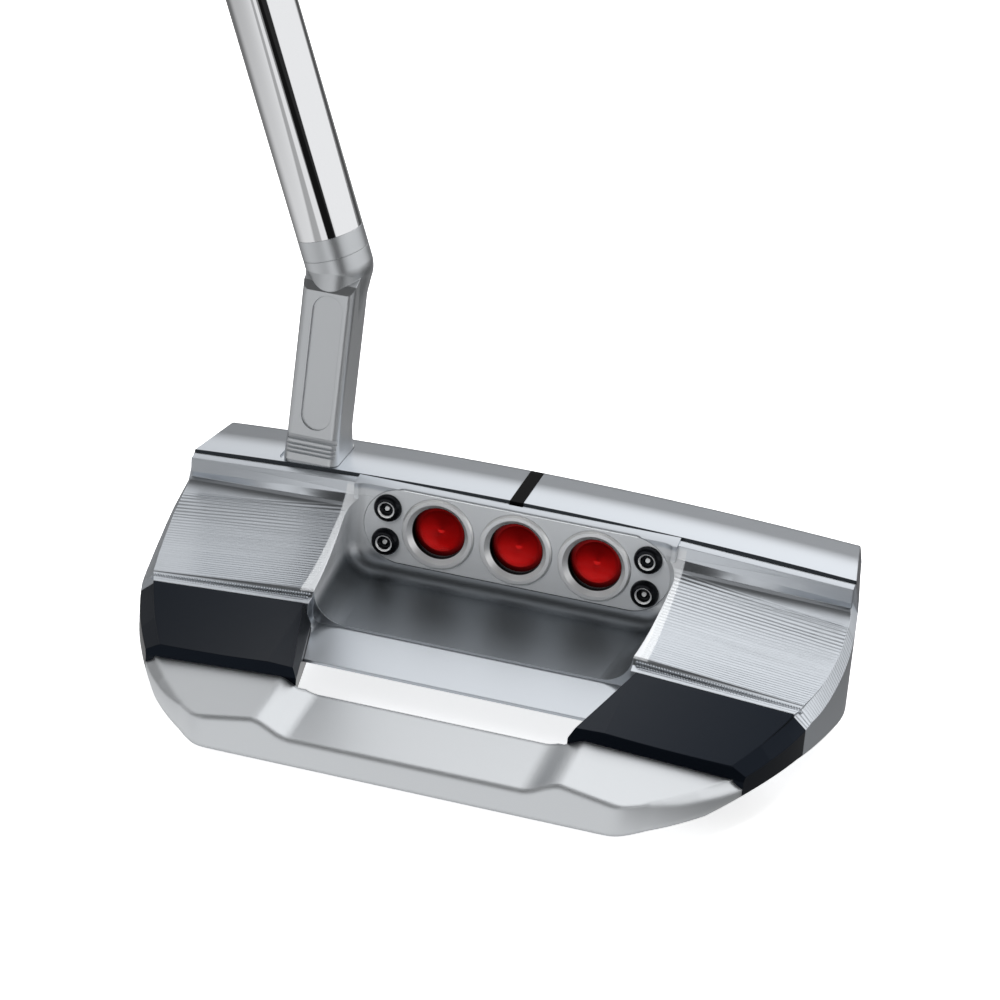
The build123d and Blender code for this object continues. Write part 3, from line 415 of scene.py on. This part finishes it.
def gripRubber():
    # moulded rubber grip: crossed grooves that leave small diamonds, matt with a slight bloom
    material, tree, shader = newMaterial("moulded grip rubber", "#1B1C1E", 0.0, 0.62)
    coords = addNode(tree, "ShaderNodeTexCoord")
    turned = addNode(tree, "ShaderNodeMapping", None,
                     {"Vector": coords.outputs["Object"], "Scale": (1.0 / mm, 1.0 / mm, 1.0 / mm),
                      "Rotation": (0.0, math.radians(grips["shaftLean"]), 0.0)})
    axes = addNode(tree, "ShaderNodeSeparateXYZ", None, {0: turned.outputs[0]}).outputs
    k = math.pi / grips["diamond"]
    around = calc(tree, "ADD", axes["X"], axes["Y"])
    waves = []
    for operation in ("ADD", "SUBTRACT"):
        across = calc(tree, "MULTIPLY", calc(tree, operation, axes["Z"], around), k)
        waves.append(calc(tree, "ABSOLUTE", calc(tree, "SINE", across)))
    groove = ramped(tree, calc(tree, "MINIMUM", *waves), 0.05, 0.35)
    speck = noise(tree, turned.outputs[0], 2.0, 3.0)
    height = calc(tree, "MULTIPLY_ADD", speck, 0.15, groove)
    bumped(tree, shader, height, 0.8, grips["grooveDepth"])
    tree.links.new(calc(tree, "MULTIPLY_ADD", speck, 0.12, 0.55), shader.inputs["Roughness"])
    # the grooves are painted darker than the diamonds: painted shade in the grooves
    tree.links.new(mixed(tree, groove, "#0C0D0E", "#1F2022"), shader.inputs["Base Color"])
    return material


steel = milledSteel()
anodised = blackAnodised()
blasted = blastedSteel()
plateSteel = satinSteel("satined plate steel", "#DEE1E4", 0.45, metallic=0.55)  # scatters, as the wall does
neckSteel = satinSteel("satined neck steel", "#CFD2D5", 0.33, (6.0, 6.0, 0.5))
insertSteel = satinSteel("milled insert steel", "#B4B7BB", 0.3)
weightSteel = plainFinish("turned weight steel", "#A9ACAF", 1.0, 0.3)
fixingSteel = plainFinish("plain fixing steel", "#8F9194", 1.0, 0.35)
ringSteel = turnedSteel()
red = redEnamel()
screwBlack = plainFinish("black oxide steel", "#17191D", 0.8, 0.2)
screwRim = plainFinish("bright socket steel", "#F2F3F4", 0.6, 0.3)
paintBlack = plainFinish("black paint fill", "#020202", 0.0, 0.6, 0.06)
chrome = chromePlate()
rubber = gripRubber()
capRubber = plainFinish("cap rubber", "#141516", 0.0, 0.6)
membrane = plainFinish("membrane rubber", "#101010", 0.0, 0.7)
epoxy = plainFinish("cured epoxy", "#9C917A", 0.0, 0.4)
tape = plainFinish("tape paper", "#D2C8AE", 0.0, 0.8)

finishes = {
    "head_body": steel, "heel_block": anodised, "toe_block": anodised, "rear_bridge": blasted,
    "face_insert": insertSteel, "damping_membrane": membrane, "back_plate": plateSteel,
    "cup_rings": ringSteel, "cup_fills": red, "back_screws": screwBlack, "sight_line": paintBlack,
    "dowel_pins": fixingSteel, "lap_screws": fixingSteel, "heel_weight": weightSteel,
    "toe_weight": weightSteel, "neck": neckSteel, "shaft_collar": neckSteel, "shaft": chrome,
    "bond_sleeve": epoxy, "grip_tape": tape, "grip": rubber, "grip_cap": capRubber,
}
for name, material in finishes.items():
    nodes[name].data.materials.clear()
    nodes[name].data.materials.append(material)
nodes["cup_fills"].visible_glossy = False  # their tint is not thrown onto the satin steel around them
print("finishes assigned")


# screw heads: one lathe-turned head, set out on the wall by geometry nodes

screws = {"across": 38.06, "up": 5.2, "middle": (0.6, 18.0), "radius": 2.05, "height": 0.95, "skirt": 0.12,
          "rimOuter": 1.22, "rimInner": 0.98, "chamfer": 0.18, "socketWide": 0.96, "socketFloor": 0.3,
          "pitWide": 0.34, "pitFloor": 0.23, "centreWide": 0.3, "centreTop": 0.45,
          "seatOut": 0.05, "wallTilt": 2.0, "sides": 48, "domeSteps": 7}


def ringMesh(name, profile, sides, materials, bands):
    # a closed turned shape from (radius, height) pairs, drawn in millimetres along +Z
    verts, faces, index = [], [], []
    for r, h in profile:
        for i in range(sides):
            turn = 2 * math.pi * i / sides
            verts.append((r * math.cos(turn) * mm, r * math.sin(turn) * mm, h * mm))
    for row in range(len(profile) - 1):
        for i in range(sides):
            j = (i + 1) % sides
            faces.append((row * sides + i, row * sides + j, (row + 1) * sides + j, (row + 1) * sides + i))
            index.append(bands[row])
    faces.append(tuple(reversed(range(sides))))
    index.append(bands[0])
    faces.append(tuple((len(profile) - 1) * sides + i for i in range(sides)))
    index.append(bands[-1])
    mesh = bpy.data.meshes.new(name)
    mesh.from_pydata(verts, [], faces)
    for material in materials:
        mesh.materials.append(material)
    for polygon, band in zip(mesh.polygons, index):
        polygon.material_index = band
        polygon.use_smooth = len(polygon.vertices) == 4
    return mesh


def screwHead():
    # a domed head, a bright chamfer round a dark socket, and a bright raised centre
    radius, skirt, height, outer = screws["radius"], screws["skirt"], screws["height"], screws["rimOuter"]
    profile, bands = [(radius, 0.0), (radius, skirt)], [0]
    for i in range(1, screws["domeSteps"] + 1):
        turn = math.pi / 2 * i / screws["domeSteps"]
        profile.append((outer + (radius - outer) * math.cos(turn), skirt + (height - skirt) * math.sin(turn)))
        bands.append(0)
    profile += [(screws["rimInner"], height - screws["chamfer"]),
                (screws["socketWide"], screws["socketFloor"]),
                (screws["pitWide"], screws["pitFloor"]),
                (screws["centreWide"], screws["centreTop"])]
    bands += [1, 0, 0, 1]
    return ringMesh("screw head", profile, screws["sides"], (screwBlack, screwRim), bands)


def newTree(name, inputs):
    tree = bpy.data.node_groups.new(name, "GeometryNodeTree")
    tree.interface.new_socket("Geometry", in_out="INPUT", socket_type="NodeSocketGeometry")
    for label, kind in inputs:
        tree.interface.new_socket(label, in_out="INPUT", socket_type=kind)
    tree.interface.new_socket("Geometry", in_out="OUTPUT", socket_type="NodeSocketGeometry")
    start = addNode(tree, "NodeGroupInput").outputs
    return tree, start


def bake(name, tree, values):
    # run the tree once and keep its result as a plain mesh object at the origin
    holder = bpy.data.objects.new(name + " holder", bpy.data.meshes.new(name + " holder"))
    bpy.context.scene.collection.objects.link(holder)
    modifier = holder.modifiers.new("make", "NODES")
    modifier.node_group = tree
    for item in tree.interface.items_tree:
        if item.in_out == "INPUT" and item.name in values:
            modifier[item.identifier] = values[item.name]
    bpy.context.view_layer.update()
    graph = bpy.context.evaluated_depsgraph_get()
    mesh = bpy.data.meshes.new_from_object(holder.evaluated_get(graph))
    holder.modifiers.clear()
    bpy.data.objects.remove(holder)
    mesh.name = name
    made = bpy.data.objects.new(name, mesh)
    bpy.context.scene.collection.objects.link(made)
    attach(made, "root")
    return made


def makeScrews():
    source = bpy.data.objects.new("screw source", screwHead())
    bpy.context.scene.collection.objects.link(source)
    named = (("Head", "NodeSocketObject"), ("Across", "NodeSocketFloat"), ("Up", "NodeSocketFloat"),
             ("Middle", "NodeSocketVector"), ("Turn", "NodeSocketRotation"))
    tree, start = newTree("screws on the wall", named)
    grid = addNode(tree, "GeometryNodeMeshGrid", None,
                   {"Size X": start["Across"], "Size Y": start["Up"], "Vertices X": 2, "Vertices Y": 2})
    head = addNode(tree, "GeometryNodeObjectInfo", None, {"Object": start["Head"]})
    spots = addNode(tree, "GeometryNodeInstanceOnPoints", None,
                    {"Points": grid.outputs["Mesh"], "Instance": head.outputs["Geometry"]})
    placed = addNode(tree, "GeometryNodeTransform", None,
                     {"Geometry": spots.outputs[0], "Translation": start["Middle"],
                      "Rotation": start["Turn"]})
    real = addNode(tree, "GeometryNodeRealizeInstances", None, {0: placed.outputs[0]})
    band = addNode(tree, "GeometryNodeInputMaterialIndex").outputs[0]
    isRim = addNode(tree, "FunctionNodeCompare", {"data_type": "INT", "operation": "EQUAL"}, {2: band, 3: 1})
    isBlack = addNode(tree, "FunctionNodeBooleanMath", {"operation": "NOT"}, {0: isRim.outputs[0]})
    black = addNode(tree, "GeometryNodeSetMaterial", None,
                    {"Geometry": real.outputs[0], "Selection": isBlack.outputs[0], "Material": screwBlack})
    bright = addNode(tree, "GeometryNodeSetMaterial", None,
                     {"Geometry": black.outputs[0], "Selection": isRim.outputs[0], "Material": screwRim})
    addNode(tree, "NodeGroupOutput", None, {0: bright.outputs[0]})
    x, z = screws["middle"]
    tilt = math.radians(screws["wallTilt"])
    out = Vector((0, -math.cos(tilt), math.sin(tilt)))
    centre = Vector((x, 0, z)) * mm + out * screws["seatOut"] * mm
    heads = bake("backScrewHeads", tree,
                 {"Head": source, "Across": screws["across"] * mm, "Up": screws["up"] * mm,
                  "Middle": centre, "Turn": (math.radians(90) - tilt, 0.0, 0.0)})
    bpy.data.objects.remove(source)
    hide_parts("back_screws")


makeScrews()
print("screws set out")


# knurled strips: rows of small pyramids on the step in front of each block

knurls = {"count": 60, "radius": 0.29, "height": 0.28, "lean": 40,
          "inner": (23.4, -18.3, 14.51), "outer": (46.2, -18.3, 12.59), "second": (0.19, -0.38, -0.32)}


def makeKnurls(name, side):
    named = (("Count", "NodeSocketInt"), ("Start", "NodeSocketVector"), ("Step", "NodeSocketVector"),
             ("Second Row", "NodeSocketVector"), ("Radius", "NodeSocketFloat"), ("Height", "NodeSocketFloat"))
    tree, start = newTree("knurl rows " + name, named)
    row = addNode(tree, "GeometryNodeMeshLine", {"mode": "OFFSET"},
                  {"Count": start["Count"], "Start Location": start["Start"], "Offset": start["Step"]})
    shifted = addNode(tree, "GeometryNodeTransform", None,
                      {"Geometry": row.outputs[0], "Translation": start["Second Row"]})
    rows = addNode(tree, "GeometryNodeJoinGeometry", None, {0: row.outputs[0]})
    tree.links.new(shifted.outputs[0], rows.inputs[0])
    point = addNode(tree, "GeometryNodeMeshCone", None,
                    {"Vertices": 4, "Radius Top": 0.0, "Radius Bottom": start["Radius"],
                     "Depth": start["Height"]})
    spots = addNode(tree, "GeometryNodeInstanceOnPoints", None,
                    {"Points": rows.outputs[0], "Instance": point.outputs["Mesh"],
                     "Rotation": (math.radians(knurls["lean"]), 0.0, 0.0)})
    real = addNode(tree, "GeometryNodeRealizeInstances", None, {0: spots.outputs[0]})
    coated = addNode(tree, "GeometryNodeSetMaterial", None, {"Geometry": real.outputs[0], "Material": steel})
    addNode(tree, "NodeGroupOutput", None, {0: coated.outputs[0]})
    a, b = Vector(knurls["inner"]), Vector(knurls["outer"])
    step = (b - a) / (knurls["count"] - 1)
    second = Vector(knurls["second"])
    flip = Vector((side, 1, 1))
    rowsMade = bake(name, tree,
                    {"Count": knurls["count"], "Start": a * flip * mm, "Step": step * flip * mm,
                     "Second Row": second * flip * mm, "Radius": knurls["radius"] * mm,
                     "Height": knurls["height"] * mm})


makeKnurls("heelKnurl", -1)
makeKnurls("toeKnurl", 1)
print("knurled strips laid")
